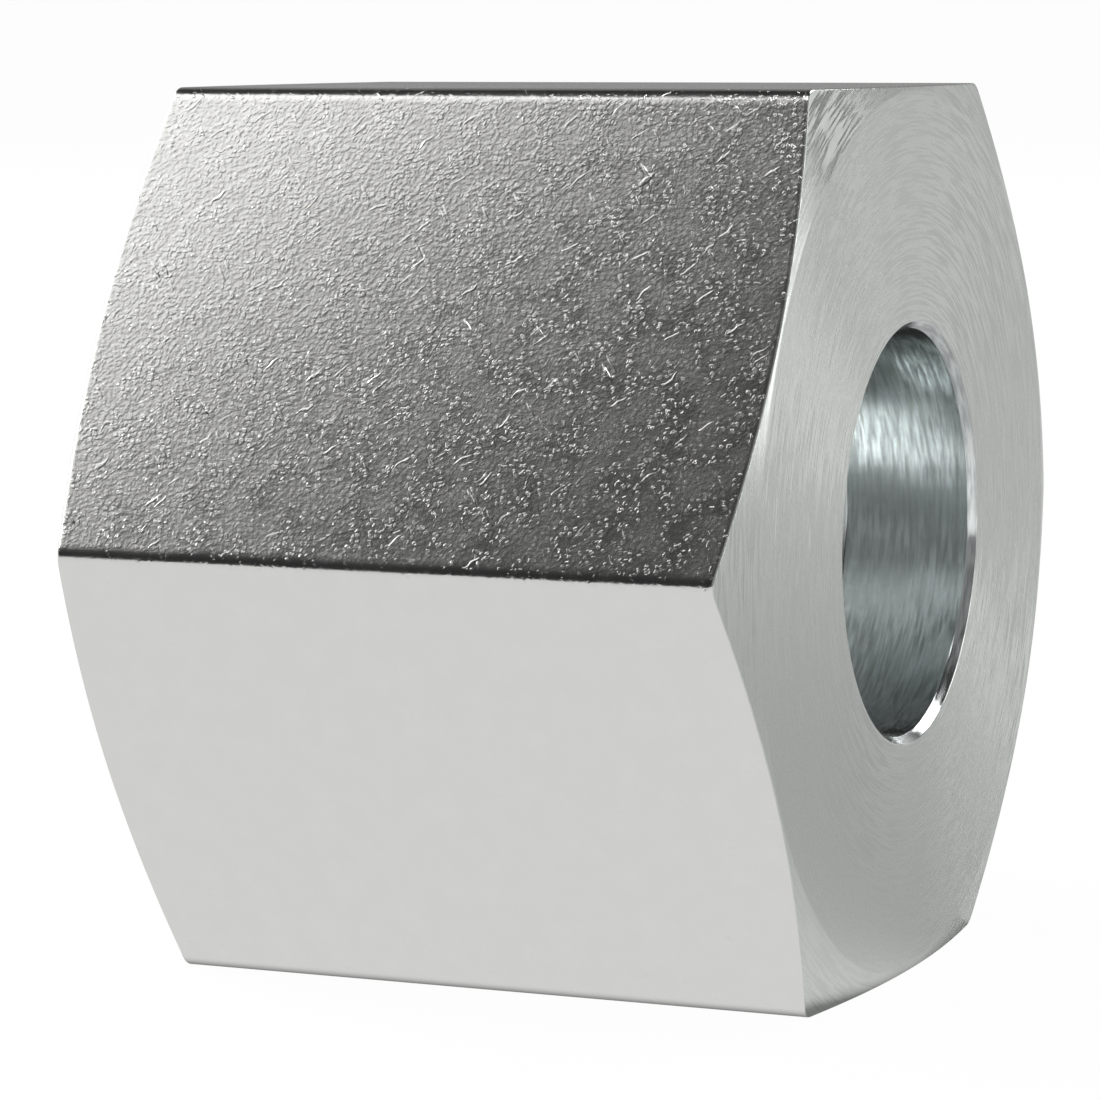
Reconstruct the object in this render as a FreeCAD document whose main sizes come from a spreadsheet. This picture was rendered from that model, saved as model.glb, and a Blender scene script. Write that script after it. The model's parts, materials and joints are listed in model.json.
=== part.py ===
"""Tube nut of a compression fitting: one piece, turned from drawn hexagon bar.

The nut's axis is X. The tube leaves at +X and the fitting screws in at -X. The nut lies on one flat,
+Z is up, and the origin is on the axis at mid length. All sizes are in millimetres and degrees.

From the tube end inwards the cavity is a small mouth chamfer, the plain bore that guides the tube,
the cone that presses on the cutting ring, the thread relief, the threaded bore at the thread's minor
diameter, and a countersink at the open end. The helix of the thread itself isn't cut here.
"""

import FreeCAD, Part
import math
import os
from FreeCAD import Vector
from Sketcher import Constraint

# Driving sizes: name, value, meaning.
SIZES = [
    ("across_flats", 22, "spanner size of the hexagon"),
    ("nut_length", 17.5, "length between the two end faces"),
    ("corner_radius", 0.5, "rounding of the bar's six long edges"),
    ("face_inset", 0.1, "from the flats in to the rim of each end face"),
    ("end_angle", 15, "slope of the cone round each end face"),
    ("tube_diameter", 10, "outside diameter of the tube"),
    ("tube_clearance", 0.1, "play of the tube in its bore, on the diameter"),
    ("mouth_chamfer", 0.2, "chamfer at the mouth of the tube's bore, both ways"),
    ("guide_length", 3.5, "tube end face to the inner end of the plain bore"),
    ("seat_angle", 45, "slope of the cone that presses on the cutting ring"),
    ("thread_major", 18, "major diameter of the fitting's thread"),
    ("thread_pitch", 1.5, "pitch of the fitting's thread"),
    ("relief_oversize", 0.3, "thread relief over the major diameter"),
    ("relief_width", 2.5, "end of the thread to the wide end of the seat"),
    ("relief_angle", 45, "slope of the wall where the thread runs out"),
    ("relief_rounding", 0.4, "radius in both corners of the relief"),
    ("countersink_oversize", 0.4, "mouth of the thread over the major diameter"),
    ("countersink_angle", 45, "slope of the countersink at the thread's mouth"),
]

# Sizes that follow from the driving ones. The minor radius is the major radius less 5/8 of the height
# of the sharp triangle that the thread's 60 degree profile is based on.
HALF_LENGTH = "Sizes.nut_length / 2"
SHARP_CORNER = "Sizes.across_flats / sqrt(3)"
FACE_RADIUS = "Sizes.across_flats / 2 - Sizes.face_inset"
BORE_RADIUS = "(Sizes.tube_diameter + Sizes.tube_clearance) / 2"
MINOR_RADIUS = "Sizes.thread_major / 2 - 5 / 8 * sqrt(3) / 2 * Sizes.thread_pitch"
RELIEF_RADIUS = "(Sizes.thread_major + Sizes.relief_oversize) / 2"
COUNTERSINK_RADIUS = "(Sizes.thread_major + Sizes.countersink_oversize) / 2"

HEXAGON_SIDES = 6
FULL_TURN = 360
STRAIGHT_ANGLE = 180

# How a constraint names the two ends of a line, a circle's centre, the sketch's axis and its origin.
START, END, CENTRE = range(1, 4)
AXIS = -1
ORIGIN = (AXIS, START)

SAME_SIZE = 1e-4


def make_sheet(doc):
    """Sheet with one row for each driving size, found by its alias."""
    sheet = doc.addObject("Spreadsheet::Sheet", "Sizes")
    for row, (name, size, meaning) in enumerate(SIZES, start=1):
        sheet.set(f"A{row}", name)
        sheet.set(f"B{row}", str(size))
        sheet.set(f"C{row}", meaning)
        sheet.setAlias(f"B{row}", name)
    doc.recompute()
    return sheet


def origin_feature(body, role):
    """Plane or axis of the body's own origin."""
    return next(item for item in body.Origin.OriginFeatures if item.Role == role)


def new_sketch(body, name, plane):
    """Empty sketch on one of the body's origin planes."""
    sketch = body.newObject("Sketcher::SketchObject", name)
    sketch.AttachmentSupport = (origin_feature(body, plane), [""])
    sketch.MapMode = "FlatFace"
    return sketch


def draw_loop(sketch, corners):
    """Closed loop of lines: line k runs from corner k to the next one."""
    points = [Vector(across, up) for across, up in corners]
    following = points[1:] + points[:1]
    lines = [sketch.addGeometry(Part.LineSegment(*ends), False) for ends in zip(points, following)]
    for line, next_line in zip(lines, lines[1:] + lines[:1]):
        sketch.addConstraint(Constraint("Coincident", line, END, next_line, START))


def constrain_each(sketch, kind, lines):
    """The same constraint, such as Horizontal, on each of the lines."""
    for line in lines:
        sketch.addConstraint(Constraint(kind, line))


def dimension(sketch, name, kind, where, expression):
    """Named dimension whose value comes from the sheet."""
    size = sketch.evalExpression(expression)
    drawn_size = math.radians(size) if kind == "Angle" else size
    index = sketch.addConstraint(Constraint(kind, *where, drawn_size))
    sketch.renameConstraint(index, name)
    sketch.setExpression(f"Constraints.{name}", expression)


def turn_away(body, name, sketch):
    """Groove that turns the sketched area once round the nut's axis."""
    groove = body.newObject("PartDesign::Groove", name)
    groove.Profile = sketch
    groove.ReferenceAxis = (origin_feature(body, "X_Axis"), [""])
    groove.Angle = FULL_TURN
    return groove


def round_edges(body, name, base, is_chosen, radius):
    """Fillet on the edges of the base feature that the test chooses."""
    body.Document.recompute()
    numbered = enumerate(base.Shape.Edges, start=1)
    fillet = body.newObject("PartDesign::Fillet", name)
    fillet.Base = (base, [f"Edge{number}" for number, edge in numbered if is_chosen(edge)])
    fillet.setExpression("Radius", radius)
    return fillet


def hexagon_bar(body, sheet):
    """Length of drawn hexagon bar with rounded long edges, one flat down."""
    sketch = new_sketch(body, "HexagonSection", "YZ_Plane")
    reach = sketch.evalExpression(SHARP_CORNER)
    turns = [math.radians(side * FULL_TURN / HEXAGON_SIDES) for side in range(HEXAGON_SIDES)]
    draw_loop(sketch, [(reach * math.cos(turn), reach * math.sin(turn)) for turn in turns])
    rim = sketch.addGeometry(Part.Circle(Vector(), Vector(0, 0, 1), reach), True)
    sketch.addConstraint(Constraint("Coincident", rim, CENTRE, *ORIGIN))
    for side in range(HEXAGON_SIDES):
        sketch.addConstraint(Constraint("PointOnObject", side, START, rim))

    # Sides are counted from the corner at +Y, so the second is the top flat and the fifth the bottom.
    first, top, _, _, bottom, _ = range(HEXAGON_SIDES)
    for side in range(top, HEXAGON_SIDES):
        sketch.addConstraint(Constraint("Equal", first, side))
    sketch.addConstraint(Constraint("PointOnObject", first, START, AXIS))
    flat_to_flat = (bottom, START, top, START)
    dimension(sketch, "across_flats", "DistanceY", flat_to_flat, "Sizes.across_flats")

    bar = body.newObject("PartDesign::Pad", "HexagonBar")
    bar.Profile = sketch
    bar.SideType = "Symmetric"
    bar.setExpression("Length", "Sizes.nut_length")

    def runs_along_bar(edge):
        return edge.BoundBox.XLength > SAME_SIZE

    return round_edges(body, "DrawnEdges", bar, runs_along_bar, "Sizes.corner_radius")


def end_cones(body, sheet):
    """The cone round the tube end's face, which takes off the bar's corners, and its mirror image."""
    sketch = new_sketch(body, "EndConeWaste", "XZ_Plane")
    half = sketch.evalExpression(HALF_LENGTH)
    face = sketch.evalExpression(FACE_RADIUS)
    reach = sketch.evalExpression(SHARP_CORNER)
    drop = (reach - face) * math.tan(math.radians(sheet.end_angle))
    draw_loop(sketch, [(half, face), (half, reach), (half - drop, reach)])
    end_plane, outside, cone = range(3)
    constrain_each(sketch, "Vertical", [end_plane])
    constrain_each(sketch, "Horizontal", [outside])
    dimension(sketch, "half_length", "DistanceX", (*ORIGIN, end_plane, START), HALF_LENGTH)
    dimension(sketch, "face_radius", "DistanceY", (*ORIGIN, end_plane, START), FACE_RADIUS)
    dimension(sketch, "sharp_corner", "DistanceY", (*ORIGIN, end_plane, END), SHARP_CORNER)
    dimension(sketch, "end_angle", "Angle", (end_plane, START, cone, END), "Sizes.end_angle")
    cut = turn_away(body, "TubeEndCone", sketch)

    mirror = body.newObject("PartDesign::Mirrored", "OpenEndCone")
    mirror.Originals = [cut]
    mirror.MirrorPlane = (origin_feature(body, "YZ_Plane"), [""])
    body.Tip = mirror
    return [cut, mirror]


def cavity(body, sheet):
    """Everything turned out of the inside, from half a section that is drawn above the axis."""
    sketch = new_sketch(body, "CavitySection", "XZ_Plane")
    half = sketch.evalExpression(HALF_LENGTH)
    bore = sketch.evalExpression(BORE_RADIUS)
    minor = sketch.evalExpression(MINOR_RADIUS)
    relief = sketch.evalExpression(RELIEF_RADIUS)
    countersink = sketch.evalExpression(COUNTERSINK_RADIUS)

    # Every slope is drawn at 45 degrees here, and the angle dimensions below turn it to its own.
    seat_end = half - sheet.guide_length
    seat_start = seat_end - (relief - bore)
    thread_end = seat_start - sheet.relief_width
    corners = [
        (-half, 0),
        (-half, countersink),
        (-half + countersink - minor, minor),
        (thread_end, minor),
        (thread_end + relief - minor, relief),
        (seat_start, relief),
        (seat_end, bore),
        (half - sheet.mouth_chamfer, bore),
        (half, bore + sheet.mouth_chamfer),
        (half, 0),
    ]
    draw_loop(sketch, corners)
    open_face, sink, thread, runout, floor, seat, guide, mouth, tube_face, middle = range(len(corners))
    constrain_each(sketch, "Vertical", [open_face, tube_face])
    constrain_each(sketch, "Horizontal", [thread, floor, guide])
    sketch.addConstraint(Constraint("PointOnObject", middle, START, AXIS))
    sketch.addConstraint(Constraint("Symmetric", middle, START, middle, END, *ORIGIN))

    along = "DistanceX"
    dimension(sketch, "nut_length", along, (middle, END, middle, START), "Sizes.nut_length")
    dimension(sketch, "guide_length", along, (guide, START, middle, START), "Sizes.guide_length")
    dimension(sketch, "relief_width", along, (runout, START, seat, START), "Sizes.relief_width")
    dimension(sketch, "mouth_depth", along, (mouth, START, mouth, END), "Sizes.mouth_chamfer")

    outward = "DistanceY"
    dimension(sketch, "mouth_rise", outward, (mouth, START, mouth, END), "Sizes.mouth_chamfer")
    dimension(sketch, "bore_radius", outward, (*ORIGIN, guide, START), BORE_RADIUS)
    dimension(sketch, "relief_radius", outward, (*ORIGIN, floor, START), RELIEF_RADIUS)
    dimension(sketch, "minor_radius", outward, (*ORIGIN, thread, START), MINOR_RADIUS)
    dimension(sketch, "sink_radius", outward, (*ORIGIN, sink, START), COUNTERSINK_RADIUS)

    slopes = {
        "seat_angle": (floor, END, seat, START),
        "relief_angle": (runout, START, thread, END),
        "countersink_angle": (thread, START, sink, END),
    }
    for name, where in slopes.items():
        dimension(sketch, name, "Angle", where, f"{STRAIGHT_ANGLE} - Sizes.{name}")
    cut = turn_away(body, "Cavity", sketch)

    def is_relief_corner(edge):
        return isinstance(edge.Curve, Part.Circle) and abs(edge.Curve.Radius - relief) < SAME_SIZE

    corners = round_edges(body, "ReliefCorners", cut, is_relief_corner, "Sizes.relief_rounding")
    return cut, corners


def check_features(doc):
    """Stops on an object that failed, a sketch left loose, or a feature without a sound shape."""
    for item in doc.Objects:
        if {"Invalid", "Error"} & set(item.State):
            raise RuntimeError(f"{item.Label} failed: {item.State}")
        if item.isDerivedFrom("Sketcher::SketchObject") and not item.FullyConstrained:
            raise RuntimeError(f"{item.Label} isn't fully constrained")
        if item.isDerivedFrom("PartDesign::Feature"):
            if item.Shape.isNull() or not item.Shape.isValid():
                raise RuntimeError(f"{item.Label} has no sound shape")


def check_cut(cut):
    """Stops if a cut took nothing away."""
    if cut.Shape.Volume >= cut.BaseFeature.Shape.Volume:
        raise RuntimeError(f"{cut.Label} cuts nothing")


def tube_nut(doc):
    """The whole nut as one body: the bar, its two end cones and its cavity."""
    sheet = make_sheet(doc)
    body = doc.addObject("PartDesign::Body", "Nut")
    body.Label = "tube_nut"
    body.Placement = FreeCAD.Placement()
    hexagon_bar(body, sheet)
    cones = end_cones(body, sheet)
    hollow, corners = cavity(body, sheet)
    body.Tip = corners
    doc.recompute()
    check_features(doc)
    for cut in [*cones, hollow]:
        check_cut(cut)
    if len(body.Shape.Solids) != 1:
        raise RuntimeError(f"{body.Label} isn't one solid")
    return body


def main():
    doc = FreeCAD.newDocument("TubeNut")
    body = tube_nut(doc)
    os.makedirs("parts", exist_ok=True)
    body.Shape.exportStep(os.path.join("parts", f"{body.Label}.step"))
    print(f"{body.Label}: {body.Shape.Volume:.1f} cubic mm")


main()
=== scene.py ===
"""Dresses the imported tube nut: a zinc-plated hexagon nut with turned ends, a tube bore and a cut thread.

The nut is one closed skin, worked out on a grid of columns round the axis and rows along the lengthwise
profile. All lengths are metres, in the frame of the CAD: X along the axis to the tube end, Z up, Y to a
hexagon corner.
"""

import json
import logging
import math
from dataclasses import dataclass, field
from enum import Enum, IntEnum

import bmesh
import bpy
import numpy as np
from mathutils import Matrix, Vector


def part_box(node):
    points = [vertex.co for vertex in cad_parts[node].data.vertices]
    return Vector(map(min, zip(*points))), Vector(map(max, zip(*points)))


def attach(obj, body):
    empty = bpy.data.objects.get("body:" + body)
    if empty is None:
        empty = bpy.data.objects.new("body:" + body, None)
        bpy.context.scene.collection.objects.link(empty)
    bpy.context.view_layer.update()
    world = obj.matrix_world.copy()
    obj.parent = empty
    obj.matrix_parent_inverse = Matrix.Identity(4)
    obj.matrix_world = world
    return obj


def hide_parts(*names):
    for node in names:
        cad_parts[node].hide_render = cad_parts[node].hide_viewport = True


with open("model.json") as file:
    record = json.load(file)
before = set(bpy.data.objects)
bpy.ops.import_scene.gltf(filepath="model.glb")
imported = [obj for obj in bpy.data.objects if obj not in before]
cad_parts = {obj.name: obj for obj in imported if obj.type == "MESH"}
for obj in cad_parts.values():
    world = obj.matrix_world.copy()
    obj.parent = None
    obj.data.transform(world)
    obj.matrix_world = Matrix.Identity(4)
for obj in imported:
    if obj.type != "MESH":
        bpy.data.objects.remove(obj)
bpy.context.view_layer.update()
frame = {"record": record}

Colour = tuple[float, float, float]
Socket = bpy.types.NodeSocket
Value = bpy.types.NodeSocket | float | tuple[float, ...]

log = logging.getLogger("tube_nut")

MM = 0.001
UV_NAME = "way"
UV_UNIT = 0.1
HEXAGON_SIDES = 6
MERGE = 1e-7


class Zone(IntEnum):
    """The parts of the nut's skin, each with a finish of its own, in the order of the material slots."""

    FLATS = 0
    ENDS = 1
    BORE = 2
    CAVITY = 3
    THREAD = 4


class Blend(Enum):
    """How two numbers in a node tree are brought together."""

    ADD = "ADD"
    TIMES = "MULTIPLY"
    HIGHER = "MAXIMUM"


@dataclass(frozen=True)
class Corner:
    """One corner of the lengthwise profile, given at every column of the grid.

    Attributes:
        x: place along the axis, one value for each column.
        r: distance from the axis, one value for each column.
        ease: how far from the corner its small curve begins, nought for a sharp corner.
        zone: finish of the run that starts here.
        fills: rows put between this corner's curve and the next one's.
    """

    x: np.ndarray
    r: np.ndarray
    ease: float
    zone: Zone
    fills: int = 0


@dataclass(frozen=True)
class Grid:
    """A sheet of points in rows and columns.

    Attributes:
        x: place along the axis, rows by columns.
        r: distance from the axis, rows by columns.
        zones: finish of the strip after each row.
    """

    x: np.ndarray
    r: np.ndarray
    zones: np.ndarray


@dataclass
class NutSizes:
    """Lengths of the nut, of which the frame gives the outer ones and the bores."""

    half_length: float = 8.75 * MM
    half_flats: float = 11.0 * MM
    bore_radius: float = 5.05 * MM
    minor_radius: float = 8.188 * MM
    major_radius: float = 9.0 * MM
    pitch: float = 1.5 * MM
    corner_radius: float = 0.5 * MM
    face_radius: float = 10.9 * MM
    end_angle: float = math.radians(15)
    mouth_chamfer: float = 0.2 * MM
    guide_length: float = 3.5 * MM
    relief_radius: float = 9.15 * MM
    relief_width: float = 2.5 * MM
    relief_rounding: float = 0.4 * MM
    countersink_radius: float = 9.2 * MM

    @classmethod
    def from_frame(cls) -> "NutSizes":
        """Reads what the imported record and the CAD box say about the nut.

        Returns:
            The sizes, with the others left as they stand above.
        """
        low, high = (np.array(corner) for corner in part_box("tube_nut"))
        half = (high - low) / 2
        mounts = {mount["name"]: mount for mount in frame["record"]["mounts"]}
        return cls(
            half_length=float(half[0]),
            half_flats=float(half[2]),
            bore_radius=mounts["tube_bore"]["dims"]["r_mm"] * MM,
            minor_radius=mounts["fitting_thread"]["dims"]["r_mm"] * MM,
        )


@dataclass
class Columns:
    """The columns of the grid: lines of points round the axis, close together at the hexagon's corners.

    Attributes:
        sizes: the nut's lengths.
        corner_steps: strips round one corner.
        flat_steps: strips across one flat.
        guard: width of the narrow strip beside each corner, as a share of the flat. It keeps a corner's
            shading from spreading over the flat.
        angle: turn of each column about the axis, from +Y towards +Z, the last a full turn after the first.
        radius: distance from the axis to the hexagon's rounded outline.
        along: distance walked along that outline.
    """

    sizes: NutSizes
    corner_steps: int = 8
    flat_steps: int = 34
    guard: float = 0.008
    angle: np.ndarray = field(init=False)
    radius: np.ndarray = field(init=False)
    along: np.ndarray = field(init=False)

    def __post_init__(self) -> None:
        """Works the columns out for one side, and repeats them for all six.

        A corner is an arc about a centre at half the width over flats less the rounding, over the cosine of
        30 degrees. Along a flat the distance from the axis is half that width, over the cosine of the angle
        from the middle of the flat.
        """
        sizes = self.sizes
        side = 2 * math.pi / HEXAGON_SIDES
        centre = (sizes.half_flats - sizes.corner_radius) / math.cos(side / 2)
        swing = np.linspace(-side / 2, side / 2, self.corner_steps + 1)
        out = centre + sizes.corner_radius * np.cos(swing)
        over = sizes.corner_radius * np.sin(swing)
        corner_angle = np.arctan2(over, out)
        end = corner_angle[-1]
        guard = (side - 2 * end) * self.guard
        flat_angle = np.linspace(end + guard, side - end - guard, self.flat_steps + 1)
        angle = np.concatenate([corner_angle, flat_angle])
        radius = np.concatenate([np.hypot(out, over), sizes.half_flats / np.cos(flat_angle - side / 2)])
        turns = side * np.arange(HEXAGON_SIDES)[:, None]
        self.angle = np.append((angle[None, :] + turns).ravel(), angle[0] + 2 * math.pi)
        self.radius = np.append(np.tile(radius, HEXAGON_SIDES), radius[0])
        points = self.radius * np.exp(1j * self.angle)
        self.along = np.append(0.0, np.cumsum(np.abs(np.diff(points))))


@dataclass
class NutBody:
    """The nut's one skin: outside, bore, seat, relief and cut thread.

    Attributes:
        sizes: the nut's lengths.
        edge_ease: how far from an outer edge its small curve begins.
        inner_ease: the same for an edge in the bore.
        most_ease: the largest share of a run that the curve at one end of it may take.
        curve_steps: strips in the curve of one edge.
        flank_steps: strips on one flank of the thread.
        crest_steps: strips on the thread's crest.
        root_steps: strips on the thread's root.
        spare_turns: turns of the helix beyond the two ends of the thread, which its slant needs.
        beyond: how far the thread's strips reach past the walls that they cut into.
        sharp_angle: the least angle between two faces that are shaded apart.
        guard: width of the narrow strip at either end of a run, as a share of the run.
        name: what the nut's object is called.
    """

    sizes: NutSizes
    edge_ease: float = 0.05 * MM
    inner_ease: float = 0.04 * MM
    most_ease: float = 0.45
    curve_steps: int = 4
    flank_steps: int = 7
    crest_steps: int = 4
    root_steps: int = 3
    spare_turns: int = 3
    beyond: float = 0.01 * MM
    sharp_angle: float = math.radians(32)
    guard: float = 0.004
    name: str = "nut_body"

    def ring(self, columns: Columns, value: float) -> np.ndarray:
        """Gives one value to every column."""
        return np.full(columns.angle.shape, value)

    def cone_edge(self, columns: Columns) -> np.ndarray:
        """Finds where the end cone meets the hexagon.

        The cone leaves the end face at the face circle, and falls back by the tangent of its angle times
        the distance beyond that circle.

        Args:
            columns: the grid's columns.

        Returns:
            Distance along the axis from the nut's middle, for each column.
        """
        sizes = self.sizes
        return sizes.half_length - (columns.radius - sizes.face_radius) * math.tan(sizes.end_angle)

    def thread_reach(self) -> tuple[float, float]:
        """Gives the places along the axis between which the thread's roots cut into the wall.

        Returns:
            The place on the countersink, then the one on the relief's run-out, both where the wall is just
            wider than the roots.
        """
        sizes = self.sizes
        low = -sizes.half_length + (sizes.countersink_radius - sizes.major_radius) - self.beyond
        high = self.relief_start() - (sizes.relief_radius - sizes.major_radius) + self.beyond
        return low, high

    def seat_foot(self) -> float:
        """Finds where the 45 degree seat meets the relief's floor.

        Returns:
            The place along the axis.
        """
        sizes = self.sizes
        seat_top = sizes.half_length - sizes.guide_length
        return seat_top - (sizes.relief_radius - sizes.bore_radius)

    def relief_start(self) -> float:
        """Finds where the relief's 45 degree run-out reaches its floor.

        Returns:
            The place along the axis.
        """
        sizes = self.sizes
        run_out = sizes.relief_radius - sizes.minor_radius
        return self.seat_foot() - sizes.relief_width + run_out

    def profile(self, columns: Columns) -> list[Corner]:
        """Lists the corners of the profile from the thread's inner end, round the outside, to its mouth.

        The curve of a relief corner begins twice as far from it as an arc of that rounding would, which is
        the rounding times the tangent of half the 45 degrees that the wall turns there.

        Args:
            columns: the grid's columns.

        Returns:
            The corners in the order that keeps the skin's faces outwards.
        """
        sizes = self.sizes
        half = sizes.half_length
        edge = self.cone_edge(columns)
        low, high = self.thread_reach()
        wall = sizes.relief_radius - (self.relief_start() - high)

        def flat(x: float, r: float, ease: float, zone: Zone, fills: int = 0) -> Corner:
            """Makes a corner that is the same at every column."""
            return Corner(self.ring(columns, x), self.ring(columns, r), ease, zone, fills)

        ease, inner = self.edge_ease, self.inner_ease
        rounding = sizes.relief_rounding * math.tan(math.radians(45) / 2) * 2
        mouth = sizes.bore_radius + sizes.mouth_chamfer
        return [
            flat(high, wall, 0, Zone.CAVITY, 1),
            flat(self.relief_start(), sizes.relief_radius, rounding, Zone.CAVITY, 2),
            flat(self.seat_foot(), sizes.relief_radius, rounding, Zone.CAVITY, 8),
            flat(half - sizes.guide_length, sizes.bore_radius, inner, Zone.BORE, 10),
            flat(half - sizes.mouth_chamfer, sizes.bore_radius, inner / 2, Zone.BORE, 1),
            flat(half, mouth, inner / 2, Zone.ENDS, 8),
            flat(half, sizes.face_radius, ease / 2, Zone.ENDS, 2),
            Corner(edge, columns.radius, ease, Zone.FLATS, 16),
            Corner(-edge, columns.radius, ease, Zone.ENDS, 2),
            flat(-half, sizes.face_radius, ease / 2, Zone.ENDS, 4),
            flat(-half, sizes.countersink_radius, ease, Zone.THREAD, 1),
            flat(low, sizes.major_radius + self.beyond, 0, Zone.THREAD),
        ]

    def skin(self, corners: list[Corner]) -> Grid:
        """Rounds the corners and fills the runs between them.

        A rounded corner is the curve that starts on the run before it, ends on the run after it and is
        pulled towards the corner: the squares of one less t and of t weigh the ends, and twice the product
        of the two weighs the corner.

        Args:
            corners: the profile, in order.

        Returns:
            The rows of the grid with the finish of each strip.
        """
        places = [np.stack([corner.x, corner.r]) for corner in corners]
        starts, ends = [], []
        for index, corner in enumerate(corners):
            here = places[index]
            before = places[max(index - 1, 0)] - here
            after = places[min(index + 1, len(corners) - 1)] - here
            lengths = [np.maximum(np.hypot(way[0], way[1]), MERGE) for way in (before, after)]
            starts.append(here + before * np.minimum(corner.ease / lengths[0], self.most_ease))
            ends.append(here + after * np.minimum(corner.ease / lengths[1], self.most_ease))
        rows, zones = [], []
        for index, corner in enumerate(corners):
            if corner.ease > 0:
                t = np.linspace(0, 1, self.curve_steps + 1)[:, None, None]
                curve = (1 - t) ** 2 * starts[index] + 2 * t * (1 - t) * places[index] + t**2 * ends[index]
                before_zone = corners[max(index - 1, 0)].zone
                half = self.curve_steps // 2
                rows.extend(curve)
                zones.extend([before_zone] * half + [corner.zone] * (self.curve_steps + 1 - half))
            else:
                rows.append(places[index])
                zones.append(corner.zone)
            if index + 1 < len(corners) and corner.fills:
                steps = np.linspace(self.guard, 1 - self.guard, corner.fills + 2)[:, None, None]
                rows.extend(ends[index] + (starts[index + 1] - ends[index]) * steps)
                zones.extend([corner.zone] * len(steps))
        sheet = np.array(rows)
        return Grid(sheet[:, 0], sheet[:, 1], np.array(zones[:-1]))

    def thread(self, columns: Columns) -> Grid:
        """Makes the cut thread, whose rows run along the right-hand helix.

        Each row moves along the axis by one pitch for each turn, so that crests and roots are clean lines,
        and the wall is the wider of the thread and the cones at its two ends. The middle of a root starts
        half a pitch outside the open end, above the axis. A root is an eighth of the pitch wide and a crest
        a quarter of it. The rows of spare turns beyond either end are drawn in to that end, and merge there.

        Args:
            columns: the grid's columns.

        Returns:
            The rows of the thread.
        """
        sizes = self.sizes
        low, high = self.thread_reach()
        root, crest = 1 / 16, 3 / 8
        places = np.concatenate([
            np.linspace(-root, root, self.root_steps + 1),
            np.linspace(root, crest, self.flank_steps + 1)[1:],
            np.linspace(crest, 1 - crest, self.crest_steps + 1)[1:],
            np.linspace(1 - crest, 1 - root, self.flank_steps + 1)[1:-1],
        ])
        depth = np.interp(places, [-root, root, crest, 1 - crest, 1 - root], [1, 1, 0, 0, 1])
        turns = math.ceil((high - low) / sizes.pitch) + self.spare_turns
        rows = (np.arange(turns)[:, None] + places[None, :]).ravel() - 1
        cut = sizes.minor_radius + (sizes.major_radius - sizes.minor_radius) * np.tile(depth, turns)
        turned = (columns.angle - math.pi / 2) / (2 * math.pi)
        start = -sizes.half_length - sizes.pitch / 2
        x = start + sizes.pitch * (rows[:, None] + turned[None, :])
        clamped = np.clip(x, low, high)
        mouth = sizes.countersink_radius - (clamped + sizes.half_length)
        run_out = sizes.relief_radius - (self.relief_start() - clamped)
        wall = np.maximum(np.maximum(mouth, run_out), sizes.minor_radius)
        r = np.maximum(wall, cut[:, None])
        return Grid(clamped, r, np.full(len(rows) - 1, Zone.THREAD))

    def build(self) -> bpy.types.Object:
        """Joins the sheets into one closed mesh.

        Returns:
            The nut's object, at the origin.
        """
        columns = Columns(self.sizes)
        corners = self.profile(columns)
        grids = [self.skin(corners), self.thread(columns)]
        mesh = bpy.data.meshes.new(self.name)
        points, faces, ways, zones = [], [], [], []
        first = 0
        for grid in grids:
            rows, count = grid.x.shape
            points.append(np.stack(
                [grid.x, grid.r * np.cos(columns.angle), grid.r * np.sin(columns.angle)], axis=-1
            ).reshape(-1, 3))
            step = np.hypot(np.diff(grid.x, axis=0), np.diff(grid.r, axis=0)).mean(axis=1)
            walked = np.append(0.0, np.cumsum(step))
            way = np.broadcast_arrays(walked[:, None], columns.along[None, :])
            ways.append(np.stack(way, axis=-1).reshape(-1, 2))
            index = first + np.arange(rows * count).reshape(rows, count)
            quads = np.stack([index[:-1, :-1], index[1:, :-1], index[1:, 1:], index[:-1, 1:]], axis=-1)
            faces.append(quads.reshape(-1, 4))
            zones.append(np.repeat(grid.zones, count - 1))
            first += rows * count
        points, faces = np.concatenate(points), np.concatenate(faces)
        ways, zones = np.concatenate(ways) / UV_UNIT, np.concatenate(zones)
        mesh.vertices.add(len(points))
        mesh.vertices.foreach_set("co", points.ravel())
        mesh.loops.add(faces.size)
        mesh.loops.foreach_set("vertex_index", faces.ravel())
        mesh.polygons.add(len(faces))
        mesh.polygons.foreach_set("loop_start", np.arange(len(faces)) * 4)
        mesh.polygons.foreach_set("material_index", zones)
        mesh.uv_layers.new(name=UV_NAME).data.foreach_set("uv", ways[faces.ravel()].ravel())
        mesh.update(calc_edges=True)
        self.weld(mesh)
        body = bpy.data.objects.new(self.name, mesh)
        bpy.context.scene.collection.objects.link(body)
        return body

    def weld(self, mesh: bpy.types.Mesh) -> None:
        """Merges the points where sheets and seam meet, and shades the skin smooth between sharp edges.

        Args:
            mesh: the nut's mesh, with its seams still open.
        """
        shell = bmesh.new()
        shell.from_mesh(mesh)
        bmesh.ops.remove_doubles(shell, verts=shell.verts, dist=MERGE)
        shell.to_mesh(mesh)
        shell.free()
        mesh.polygons.foreach_set("use_smooth", np.ones(len(mesh.polygons), dtype=bool))
        mesh.set_sharp_from_angle(angle=self.sharp_angle)

    def dress(self, body: bpy.types.Object, finishes: dict[Zone, "Finish"]) -> None:
        """Gives each zone its material, and lets large faces rule the shading of small ones.

        Args:
            body: the nut's object.
            finishes: one finish for each zone.
        """
        for zone in Zone:
            body.data.materials.append(finishes[zone].material())
        weigh = body.modifiers.new("even_shading", "WEIGHTED_NORMAL")
        weigh.keep_sharp = True
        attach(body, "root")
        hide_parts("tube_nut")


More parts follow.
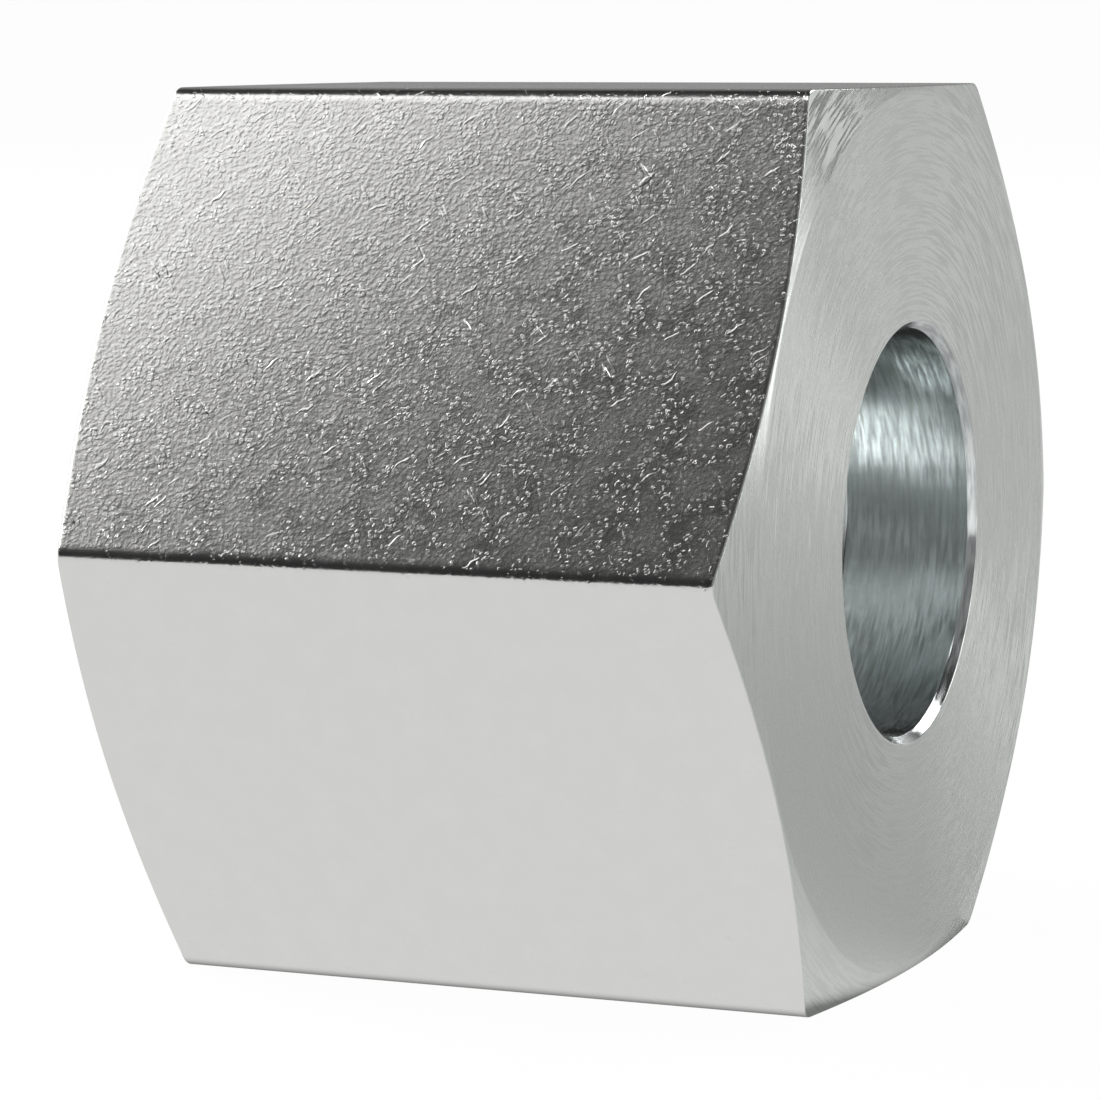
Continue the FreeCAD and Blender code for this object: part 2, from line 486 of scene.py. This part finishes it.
class NodeSheet:
    """A node tree with short ways to add nodes to it."""

    def __init__(self, tree: bpy.types.NodeTree) -> None:
        """Empties the tree."""
        tree.nodes.clear()
        self.tree = tree

    def add(self, kind: str, values: dict[str | int, Value] | None = None,
            **settings: object) -> bpy.types.Node:
        """Adds one node.

        Args:
            kind: Blender's name for the node, without ShaderNode before it.
            values: what goes into its inputs: another node's output is linked, a number or colour is set.
            settings: the node's own properties.

        Returns:
            The node.
        """
        node = self.tree.nodes.new("ShaderNode" + kind)
        for name, setting in settings.items():
            setattr(node, name, setting)
        for name, value in (values or {}).items():
            if isinstance(value, Socket):
                self.tree.links.new(value, node.inputs[name])
            else:
                node.inputs[name].default_value = value
        return node

    def maths(self, blend: Blend, first: Value, second: Value) -> Socket:
        """Brings two numbers together."""
        return self.add("Math", {0: first, 1: second}, operation=blend.value).outputs[0]

    def remap(self, value: Value, low: float, high: float, to_low: Value = 0.0,
              to_high: Value = 1.0) -> Socket:
        """Carries a number from one range to another along a soft S-shaped curve.

        Args:
            value: the number.
            low: where the curve starts.
            high: where the curve ends, which may be lower than low.
            to_low: what it gives at the start.
            to_high: what it gives at the end.

        Returns:
            The carried number.
        """
        inputs = {0: value, 1: low, 2: high, 3: to_low, 4: to_high}
        return self.add("MapRange", inputs, interpolation_type="SMOOTHSTEP").outputs[0]

    def noise(self, place: Socket, detail: float = 2.0, flat: bool = False) -> Socket:
        """Adds soft noise of one unit's size.

        Args:
            place: coordinates, already divided by the pattern's size.
            detail: how many finer layers it has.
            flat: reads two coordinates and not three.

        Returns:
            The noise, near one half.
        """
        values = {"Vector": place, "Scale": 1.0, "Detail": detail}
        return self.add("TexNoise", values, noise_dimensions="2D" if flat else "3D").outputs[0]

    def shrink(self, place: Socket, sizes: tuple[float, float, float], turn: float = 0.0) -> Socket:
        """Divides coordinates by a pattern's sizes, after turning them about their third axis.

        Args:
            place: the coordinates.
            sizes: the pattern's size along each axis.
            turn: the pattern's angle.

        Returns:
            The pattern's coordinates.
        """
        values = {"Vector": place, "Rotation": (0.0, 0.0, turn), "Scale": sizes}
        return self.add("Mapping", values, vector_type="TEXTURE").outputs[0]

    def mix(self, factor: Value, first: Colour, second: Colour) -> Socket:
        """Mixes two colours, of which a factor of one gives the second."""
        inputs = {0: factor, 6: (*first, 1.0), 7: (*second, 1.0)}
        return self.add("Mix", inputs, data_type="RGBA").outputs[2]

    def bump(self, height: Socket, depth: float) -> Socket:
        """Raises the surface by a height map, of which one stands for the depth in metres."""
        return self.add("Bump", {"Height": height, "Distance": depth, "Strength": 1.0}).outputs[0]


@dataclass(frozen=True)
class Pattern:
    """What a finish's pattern gives to the shader.

    Attributes:
        tone: from dull to bright, in soft patches.
        normal: the shading direction.
        grains: where rough grains of zinc stand, if the finish has them.
        sway: how far each mark of the tool leans, if there are marks.
    """

    tone: Socket
    normal: Socket
    grains: Socket | None = None
    sway: Socket | None = None


@dataclass(frozen=True)
class Finish:
    """Zinc over steel: what all the nut's finishes share.

    A pattern's sizes are millimetres and its depth is metres.

    Attributes:
        label: what the material is called.
        colour: the metal's colour where the pattern's tone is bright.
        stain: its colour where the tone is dull.
        roughness: its roughness where the tone is bright, then where it is dull.
        tone_span: the tones between which the roughness changes.
        grain_roughness: what a grain of zinc adds to the roughness.
        anisotropy: how much the tool's marks stretch the reflections.
        lean: how far the marks lean at most, as a share of their length.
    """

    label: str = "zinc"
    colour: Colour = (0.655, 0.652, 0.638)
    stain: Colour = (0.63, 0.627, 0.613)
    roughness: tuple[float, float] = (0.32, 0.38)
    tone_span: tuple[float, float] = (0.8, 0.2)
    grain_roughness: float = 0.08
    anisotropy: float = 0.0
    lean: float = 1.0

    def material(self) -> bpy.types.Material:
        """Makes the material.

        Returns:
            A metal whose pattern comes from the finish's own relief.
        """
        made = bpy.data.materials.new(self.label)
        made.use_nodes = True
        sheet = NodeSheet(made.node_tree)
        pattern = self.relief(sheet)
        colour = sheet.mix(pattern.tone, self.stain, self.colour)
        rough = sheet.remap(pattern.tone, *self.tone_span, *self.roughness)
        if pattern.grains is not None:
            added = sheet.maths(Blend.TIMES, pattern.grains, self.grain_roughness)
            rough = sheet.maths(Blend.ADD, rough, added)
        values = {"Base Color": colour, "Metallic": 1.0, "Roughness": rough, "Normal": pattern.normal,
                  "Anisotropic": self.anisotropy}
        if pattern.sway is not None:
            values["Tangent"] = self.brushed(sheet, pattern.sway)
        shader = sheet.add("BsdfPrincipled", values)
        sheet.add("OutputMaterial", {"Surface": shader.outputs[0]})
        return made

    def brushed(self, sheet: NodeSheet, sway: Socket) -> Socket:
        """Gives the way across the tool's marks, which sways a little from the straight way of the profile.

        Args:
            sheet: the material's nodes.
            sway: how far each mark leans, near one half where it doesn't.

        Returns:
            The way, with the share of the sway that points along the marks added.
        """
        across = sheet.add("Tangent", direction_type="UV_MAP", uv_map=UV_NAME).outputs[0]
        outwards = sheet.add("NewGeometry").outputs["Normal"]
        around = sheet.add("VectorMath", {0: outwards, 1: across}, operation="CROSS_PRODUCT").outputs[0]
        lean = sheet.add("MapRange", {0: sway, 1: 0.0, 2: 1.0, 3: -self.lean, 4: self.lean}).outputs[0]
        leaning = sheet.add("VectorMath", {0: around, "Scale": lean}, operation="SCALE").outputs[0]
        return sheet.add("VectorMath", {0: across, 1: leaning}, operation="ADD").outputs[0]

    def relief(self, sheet: NodeSheet) -> Pattern:
        """Works out the surface's pattern.

        Args:
            sheet: the material's nodes.

        Returns:
            The pattern.
        """
        raise NotImplementedError

    def millimetres(self, sheet: NodeSheet) -> Socket:
        """Gives the place in space, in millimetres."""
        place = sheet.add("TexCoord").outputs["Object"]
        return sheet.add("VectorMath", {0: place, "Scale": 1 / MM}, operation="SCALE").outputs[0]

    def unrolled(self, sheet: NodeSheet) -> Socket:
        """Gives the place on the unrolled skin, in millimetres: along the profile, then round the nut."""
        place = sheet.add("UVMap", uv_map=UV_NAME).outputs[0]
        return sheet.add("VectorMath", {0: place, "Scale": UV_UNIT / MM}, operation="SCALE").outputs[0]


@dataclass(frozen=True)
class DrawnSkin(Finish):
    """The drawn flats: a fine even grain, bright grains of zinc in patches, and short scratches.

    Attributes:
        depth: the height of a rise of one.
        patch: size of the patches in which grains stand close.
        patch_rise: how high a patch stands.
        patch_span: the noise between which a patch goes from thin to full.
        thin: share of a grain's height that is left between the patches.
        fine: size of the even grain.
        fine_turn: angle of its pattern.
        fine_rise: how high it stands.
        grain: room that each bright grain has.
        grain_chance: the chance above which a grain stands out.
        grain_rise: how high it stands.
        jitter: how far the even grain pushes the bright ones out of line.
        oval_span: distance from an oval's middle to its foot and its top, in cells.
        scratch_sizes: length and width of the room that each scratch has.
        scratch_turns: the two ways that scratches lie.
        scratch_chance: the chance above which a scratch stands out.
        scratch_rise: how high it stands.
        sway: how far the patches bend the scratches.
    """

    label: str = "drawn_zinc"
    roughness: tuple[float, float] = (0.15, 0.19)
    depth: float = 0.00056 * MM
    patch: float = 0.8
    patch_rise: float = 3.0
    patch_span: tuple[float, float] = (0.35, 0.62)
    thin: float = 0.3
    fine: float = 0.118
    fine_turn: float = 0.4
    fine_rise: float = 3.8
    grain: float = 0.137
    grain_chance: float = 0.2
    grain_rise: float = 6.2
    jitter: float = 0.15
    oval_span: tuple[float, float] = (0.45, 0.15)
    scratch_sizes: tuple[float, float] = (0.6, 0.1)
    scratch_turns: tuple[float, float] = (0.75, 2.2)
    scratch_chance: float = 0.84
    scratch_rise: float = 11.0
    sway: float = 0.3

    def relief(self, sheet: NodeSheet) -> Pattern:
        """Lays the grains and scratches over the even grain.

        Args:
            sheet: the material's nodes.

        Returns:
            The pattern, in which the grains stand out and are rougher.
        """
        place = self.unrolled(sheet)
        patches = sheet.noise(sheet.shrink(place, (self.patch,) * 3), 2.0, flat=True)
        dense = sheet.remap(patches, *self.patch_span, self.thin, 1.0)
        fine = sheet.noise(sheet.shrink(place, (self.fine,) * 3, self.fine_turn), 1.0, flat=True)
        uneven = self.swayed(sheet, place, fine, self.jitter)
        grains = self.strewn(sheet, uneven, (self.grain, self.grain), 0.0, self.grain_chance)
        grains = sheet.maths(Blend.TIMES, grains, dense)
        bent = self.swayed(sheet, place, patches, self.sway)
        scratches = [self.strewn(sheet, bent, self.scratch_sizes, turn, self.scratch_chance)
                     for turn in self.scratch_turns]
        height = sheet.maths(Blend.TIMES, sheet.maths(Blend.HIGHER, *scratches), self.scratch_rise)
        for part, rise in ((patches, self.patch_rise), (fine, self.fine_rise), (grains, self.grain_rise)):
            height = sheet.maths(Blend.ADD, height, sheet.maths(Blend.TIMES, part, rise))
        return Pattern(patches, sheet.bump(height, self.depth), grains)

    def swayed(self, sheet: NodeSheet, place: Socket, push: Socket, reach: float) -> Socket:
        """Moves a place by a pattern's height.

        Args:
            sheet: the material's nodes.
            place: the place on the surface.
            push: the pattern.
            reach: how far the pattern's full height moves it.

        Returns:
            The moved place.
        """
        inputs = {0: push, 1: (reach, -reach, 0.0), 2: place}
        return sheet.add("VectorMath", inputs, operation="MULTIPLY_ADD").outputs[0]

    def strewn(self, sheet: NodeSheet, place: Socket, sizes: tuple[float, float], turn: float,
               start: float) -> Socket:
        """Strews ovals, one to a cell, of which the cell's own chance decides how high each stands.

        Args:
            sheet: the material's nodes.
            place: the place on the surface.
            sizes: the length and width of a cell.
            turn: the way the ovals lie.
            start: the chance above which an oval stands out.

        Returns:
            The height, from nought to one.
        """
        shrunk = sheet.shrink(place, (*sizes, 1.0), turn)
        cells = sheet.add("TexVoronoi", {"Vector": shrunk, "Scale": 1.0}, voronoi_dimensions="2D")
        oval = sheet.remap(cells.outputs["Distance"], *self.oval_span)
        chance = sheet.remap(cells.outputs["Color"], start, 1.0)
        return sheet.maths(Blend.TIMES, oval, chance)


@dataclass(frozen=True)
class TurnedFace(Finish):
    """The turned end faces and cones: fine rings left by the tool, with bright arcs.

    Attributes:
        ring_sizes: width of a ring, and the run round the axis over which it changes.
        ring_depth: how high it stands.
        mark_sizes: width and length of an arc.
        mark_span: the noise between which an arc goes from dull to bright.
    """

    label: str = "turned_zinc"
    colour: Colour = (0.53, 0.552, 0.53)
    stain: Colour = (0.522, 0.543, 0.522)
    roughness: tuple[float, float] = (0.25, 0.36)
    anisotropy: float = 0.9
    lean: float = 0.8
    ring_sizes: tuple[float, float] = (0.07, 5.0)
    ring_depth: float = 0.0012 * MM
    mark_sizes: tuple[float, float] = (0.065, 1.3)
    mark_span: tuple[float, float] = (0.35, 0.65)

    def relief(self, sheet: NodeSheet) -> Pattern:
        """Lays fine rings about the axis, and short arcs that lean a little.

        Args:
            sheet: the material's nodes.

        Returns:
            The pattern.
        """
        place = self.millimetres(sheet)
        parts = sheet.add("SeparateXYZ", {0: place}).outputs
        across = sheet.add("CombineXYZ", {1: parts[1], 2: parts[2]}).outputs[0]
        radius = sheet.add("VectorMath", {0: across}, operation="LENGTH").outputs["Value"]
        about = sheet.add("CombineXYZ", {0: radius, 1: parts[1], 2: parts[2]}).outputs[0]
        rings, arcs = (
            sheet.noise(sheet.shrink(about, (width, length, length)), detail)
            for (width, length), detail in ((self.ring_sizes, 1.0), (self.mark_sizes, 2.0))
        )
        tone = sheet.remap(arcs, *self.mark_span)
        return Pattern(tone, sheet.bump(rings, self.ring_depth), sway=arcs)


@dataclass(frozen=True)
class BoredWall(Finish):
    """A bored wall: streaks round the axis, from a tool that moved along it.

    Attributes:
        streak_sizes: width and length of a fine streak.
        streak_depth: how high it stands.
        mark_sizes: width and length of a dull or bright mark.
        mark_span: the noise between which a mark goes from dull to bright.
    """

    label: str = "bored_zinc"
    colour: Colour = (0.77, 0.81, 0.805)
    stain: Colour = (0.46, 0.485, 0.482)
    roughness: tuple[float, float] = (0.15, 0.21)
    anisotropy: float = 0.9
    lean: float = 1.3
    streak_sizes: tuple[float, float] = (0.06, 0.9)
    streak_depth: float = 0.0015 * MM
    mark_sizes: tuple[float, float] = (0.1, 0.9)
    mark_span: tuple[float, float] = (0.3, 0.7)

    def relief(self, sheet: NodeSheet) -> Pattern:
        """Lays streaks round the axis.

        Args:
            sheet: the material's nodes.

        Returns:
            The pattern.
        """
        place = self.millimetres(sheet)
        streaks, marks = (
            sheet.noise(sheet.shrink(place, (width, length, length)), detail)
            for (width, length), detail in ((self.streak_sizes, 1.0), (self.mark_sizes, 2.0))
        )
        tone = sheet.remap(marks, *self.mark_span)
        return Pattern(tone, sheet.bump(streaks, self.streak_depth), sway=marks)


@dataclass(frozen=True)
class EvenWall(BoredWall):
    """The seat, the relief and the thread: a bored wall that is duller and more even than the bore."""

    label: str = "even_zinc"
    colour: Colour = (0.64, 0.675, 0.67)
    stain: Colour = (0.57, 0.6, 0.596)
    roughness: tuple[float, float] = (0.24, 0.3)
    lean: float = 0.5


@dataclass(frozen=True)
class Lobe:
    """A soft patch of light on the studio's walls.

    Attributes:
        towards: its direction from the nut.
        core: angle from its middle to where it starts to fade.
        rim: angle from its middle to where it ends.
        strength: how bright it is.
    """

    towards: tuple[float, float, float]
    core: float
    rim: float
    strength: float


@dataclass(frozen=True)
class SoftBox:
    """A rectangular lamp that faces the nut.

    Attributes:
        name: what the lamp is called.
        round_up: its direction round the upright, in degrees from +X towards +Y.
        height: its direction above the level, in degrees.
        size: its width and height, in metres.
        radiance: how bright its face is, where one is the floor's white.
        distance: how far it hangs from the nut, in metres.
    """

    name: str
    round_up: float
    height: float
    size: tuple[float, float]
    radiance: float
    distance: float = 0.8

    def hang(self) -> bpy.types.Object:
        """Makes the lamp.

        Its power is its radiance times its area times pi.

        Returns:
            The lamp's object, turned to the nut.
        """
        data = bpy.data.lights.new(self.name, "AREA")
        data.shape = "RECTANGLE"
        data.size, data.size_y = self.size
        data.energy = self.radiance * math.pi * self.size[0] * self.size[1]
        lamp = bpy.data.objects.new(self.name, data)
        bpy.context.scene.collection.objects.link(lamp)
        turn, rise = math.radians(self.round_up), math.radians(self.height)
        way = Vector((math.cos(rise) * math.cos(turn), math.cos(rise) * math.sin(turn), math.sin(rise)))
        turned = way.to_track_quat("Z", "Y").to_matrix().to_4x4()
        lamp.matrix_world = Matrix.Translation(way * self.distance) @ turned
        return lamp


@dataclass
class Studio:
    """Floor, walls, lamps and camera.

    Attributes:
        floor_height: the floor's height, which is the nut's foot.
        floor_radius: from the middle to the floor's raised rim.
        floor_steps: strips round the floor, from its middle to the rim, and up the rim.
        rim: how far the rim reaches out, as a share of the radius, and how high.
        floor_white: the share of light that the paint sends back.
        backdrop_share: the share of its own light in what the camera sees of the floor.
        ahead_white: how bright reflections see the floor in front of the nut.
        shaded_behind_white: how bright they see it behind the nut, near it and far from it: a painted shade,
            darkest near the nut, in place of its shadow.
        behind_reach: the distances from the nut between which that changes.
        fade: half the width of the strip between front and back.
        contact_shadow: half the length and width of the nut's foot, under which reflections see the floor
            dark: a painted contact shadow.
        contact_shadow_fade: the width over which that painted shadow gets light beside the foot.
        contact_shadow_white: the share of its light that the painted shadow leaves under the foot.
        base: how bright the walls are.
        lobes: the soft patches of light on them.
        boxes: the lamps.
        lens: the camera's focal length, in millimetres.
        sensor: the width of its picture, in millimetres.
        clip: the nearest and the farthest that it sees.
        yaw: its turn about the upright.
        pitch: its turn about its own side.
        roll: its turn about its line of sight.
        distance: how far ahead of it the nut's middle is.
        aside: how far to its side.
        above: how far above its line of sight.
    """

    floor_height: float = -11.0 * MM
    floor_radius: float = 1.4
    floor_steps: tuple[int, int, int] = (96, 11, 6)
    rim: tuple[float, float] = (0.1, 0.055)
    floor_white: float = 0.85
    backdrop_share: float = 0.975
    ahead_white: float = 0.96
    shaded_behind_white: tuple[float, float] = (0.57, 0.84)
    behind_reach: tuple[float, float] = (0.015, 0.12)
    fade: float = 0.006
    contact_shadow: tuple[float, float] = (0.0084, 0.0060)
    contact_shadow_fade: float = 0.0006
    contact_shadow_white: float = 0.3
    base: float = 0.03
    lobes: tuple[Lobe, ...] = (
        Lobe((-0.37, 0.92, 0.14), 12, 48, 0.25),
        Lobe((0.26, 0.96, 0.05), 6, 24, 0.5),
        Lobe((0.68, -0.62, 0.4), 15, 50, 0.28),
    )
    boxes: tuple[SoftBox, ...] = (
        SoftBox("key_box", 206, 50, (0.40, 0.35), 1.58),
        SoftBox("left_box", 180, 35, (0.54, 0.30), 16.0),
        SoftBox("back_box", 60, 42.5, (0.316, 0.429), 5.9),
        SoftBox("right_box", 30, 14, (0.42, 0.37), 3.0),
        SoftBox("top_box", 268, 74, (0.45, 0.16), 5.6),
    )
    lens: float = 149.0
    sensor: float = 36.0
    clip: tuple[float, float] = (0.005, 10.0)
    yaw: float = math.radians(-23.01)
    pitch: float = math.radians(6.504)
    roll: float = math.radians(0.148)
    distance: float = 115.971 * MM
    aside: float = 0.917 * MM
    above: float = 0.787 * MM

    def lay_floor(self) -> bpy.types.Object:
        """Makes a wide round floor with a low raised rim, so that it is white to the edge of the view.

        The rim is a quarter of an oval: it goes out by the sine of a turn and up by one less the cosine.

        Returns:
            The floor's object.
        """
        around, across, climb = self.floor_steps
        reach, rise = self.rim
        turn = np.linspace(0, 2 * math.pi, around + 1)
        quarter = np.linspace(0, math.pi / 2, climb + 1)[1:]
        out = np.concatenate([np.linspace(0, 1, across + 1)[1:], 1 + reach * np.sin(quarter)])
        up = np.concatenate([np.zeros(across), 1 - np.cos(quarter)])
        ring = np.stack([
            self.floor_radius * out[:, None] * np.cos(turn),
            self.floor_radius * out[:, None] * np.sin(turn),
            self.floor_height + rise * up[:, None] + 0 * turn,
        ], axis=-1)
        rows, count = ring.shape[:2]
        index = np.arange(rows * count).reshape(rows, count)
        quads = np.stack([index[:-1, :-1], index[1:, :-1], index[1:, 1:], index[:-1, 1:]], axis=-1)
        quads = quads.reshape(-1, 4)
        hub = rows * count
        fan = np.stack([np.full(count - 1, hub), index[0, :-1], index[0, 1:]], axis=-1)
        points = np.vstack([ring.reshape(-1, 3), [[0, 0, self.floor_height]]])
        mesh = bpy.data.meshes.new("floor")
        mesh.from_pydata(points.tolist(), [], quads.tolist() + fan.tolist())
        floor = bpy.data.objects.new("floor", mesh)
        bpy.context.scene.collection.objects.link(floor)
        mesh.materials.append(self.floor_paint())
        return floor

    def floor_paint(self) -> bpy.types.Material:
        """Makes the floor's white: the camera sees it mostly by its own light, and reflections wholly, with
        a painted shade behind the nut and a painted contact shadow under its foot.

        Returns:
            The material, in which the nut's shadow still shows.
        """
        made = bpy.data.materials.new("floor_white")
        made.use_nodes = True
        sheet = NodeSheet(made.node_tree)
        white = (self.floor_white,) * 3 + (1.0,)
        paint = sheet.add("BsdfDiffuse", {"Color": white}).outputs[0]
        rays = sheet.add("LightPath").outputs
        seen, mirrored = rays["Is Camera Ray"], rays["Is Glossy Ray"]
        mirrored = sheet.maths(Blend.HIGHER, mirrored, rays["Is Transmission Ray"])
        place = sheet.add("TexCoord").outputs["Object"]
        away = sheet.add("VectorMath", {0: place}, operation="LENGTH").outputs["Value"]
        # Painted shade: reflections see the floor darker behind the nut, most near it, as if in its shadow.
        behind = sheet.remap(away, *self.behind_reach, *self.shaded_behind_white)
        parts = sheet.add("SeparateXYZ", {0: place}).outputs
        bright = sheet.remap(parts[1], -self.fade, self.fade, self.ahead_white, behind)
        # Painted contact shadow: reflections see the floor dark under the nut's foot.
        clear: Value = self.contact_shadow_white
        for part, reach in zip(parts, self.contact_shadow):
            out = sheet.add("Math", {0: part}, operation="ABSOLUTE").outputs[0]
            clear = sheet.maths(Blend.HIGHER, clear, sheet.remap(out, reach, reach + self.contact_shadow_fade))
        bright = sheet.maths(Blend.TIMES, bright, clear)
        bright = sheet.maths(Blend.HIGHER, sheet.maths(Blend.TIMES, mirrored, bright), seen)
        glow = sheet.add("Emission", {"Color": (1.0, 1.0, 1.0, 1.0), "Strength": bright}).outputs[0]
        share = sheet.maths(Blend.HIGHER, sheet.maths(Blend.TIMES, seen, self.backdrop_share), mirrored)
        both = sheet.add("MixShader", {0: share, 1: paint, 2: glow}).outputs[0]
        sheet.add("OutputMaterial", {"Surface": both})
        return made

    def light(self) -> None:
        """Paints the studio's walls: a dim room with soft bright patches."""
        world = bpy.data.worlds.new("studio")
        bpy.context.scene.world = world
        world.use_nodes = True
        sheet = NodeSheet(world.node_tree)
        way = sheet.add("TexCoord").outputs["Generated"]
        total: Value = self.base
        for lobe in self.lobes:
            middle = tuple(Vector(lobe.towards).normalized())
            near = sheet.add("VectorMath", {0: way, 1: middle}, operation="DOT_PRODUCT").outputs["Value"]
            core, rim = (math.cos(math.radians(angle)) for angle in (lobe.core, lobe.rim))
            total = sheet.maths(Blend.ADD, total, sheet.remap(near, rim, core, 0.0, lobe.strength))
        shine = sheet.add("Background", {"Color": (1.0, 1.0, 1.0, 1.0), "Strength": total}).outputs[0]
        sheet.add("OutputWorld", {"Surface": shine})

    def place_camera(self) -> bpy.types.Object:
        """Sets the camera to the photograph's view.

        The turn is the yaw about the nut's upright, then the pitch about the camera's side, then the roll
        about its line of sight. The nut's middle lies at a set distance ahead, a little aside and above.

        Returns:
            The camera's object.
        """
        data = bpy.data.cameras.new("camera")
        data.lens = self.lens
        data.sensor_width = self.sensor
        data.clip_start, data.clip_end = self.clip
        camera = bpy.data.objects.new("camera", data)
        bpy.context.scene.collection.objects.link(camera)
        yaw = np.array([[math.cos(self.yaw), -math.sin(self.yaw), 0],
                        [math.sin(self.yaw), math.cos(self.yaw), 0], [0, 0, 1]])
        pitch = np.array([[1, 0, 0], [0, math.cos(self.pitch), -math.sin(self.pitch)],
                          [0, math.sin(self.pitch), math.cos(self.pitch)]])
        roll = np.array([[math.cos(self.roll), 0, -math.sin(self.roll)], [0, 1, 0],
                         [math.sin(self.roll), 0, math.cos(self.roll)]])
        turn = roll @ pitch @ yaw
        right, ahead, up = turn
        spot = -turn.T @ np.array([self.aside, self.distance, self.above])
        axes = np.stack([right, up, -ahead, spot], axis=1)
        camera.matrix_world = Matrix([*axes.tolist(), [0, 0, 0, 1]])
        bpy.context.scene.camera = camera
        return camera

    def set_view(self) -> None:
        """Leaves the colours as they are written."""
        bpy.context.scene.view_settings.view_transform = "Standard"


def main() -> None:
    """Builds the studio and the nut, and reports each piece."""
    logging.basicConfig(level=logging.INFO)
    sizes = NutSizes.from_frame()
    studio = Studio(floor_height=-sizes.half_flats)
    studio.set_view()
    studio.light()
    for box in studio.boxes:
        log.info("lamp %s", box.hang().name)
    camera = studio.place_camera()
    log.info("camera at %s", tuple(round(value, 4) for value in camera.location))
    floor = studio.lay_floor()
    log.info("%s: %d faces", floor.name, len(floor.data.polygons))
    nut = NutBody(sizes)
    body = nut.build()
    finishes = {
        Zone.FLATS: DrawnSkin(),
        Zone.ENDS: TurnedFace(),
        Zone.BORE: BoredWall(),
        Zone.CAVITY: EvenWall("seat_zinc"),
        Zone.THREAD: EvenWall("thread_zinc"),
    }
    nut.dress(body, finishes)
    log.info("%s: %d faces", body.name, len(body.data.polygons))


if __name__ == "__main__":
    main()
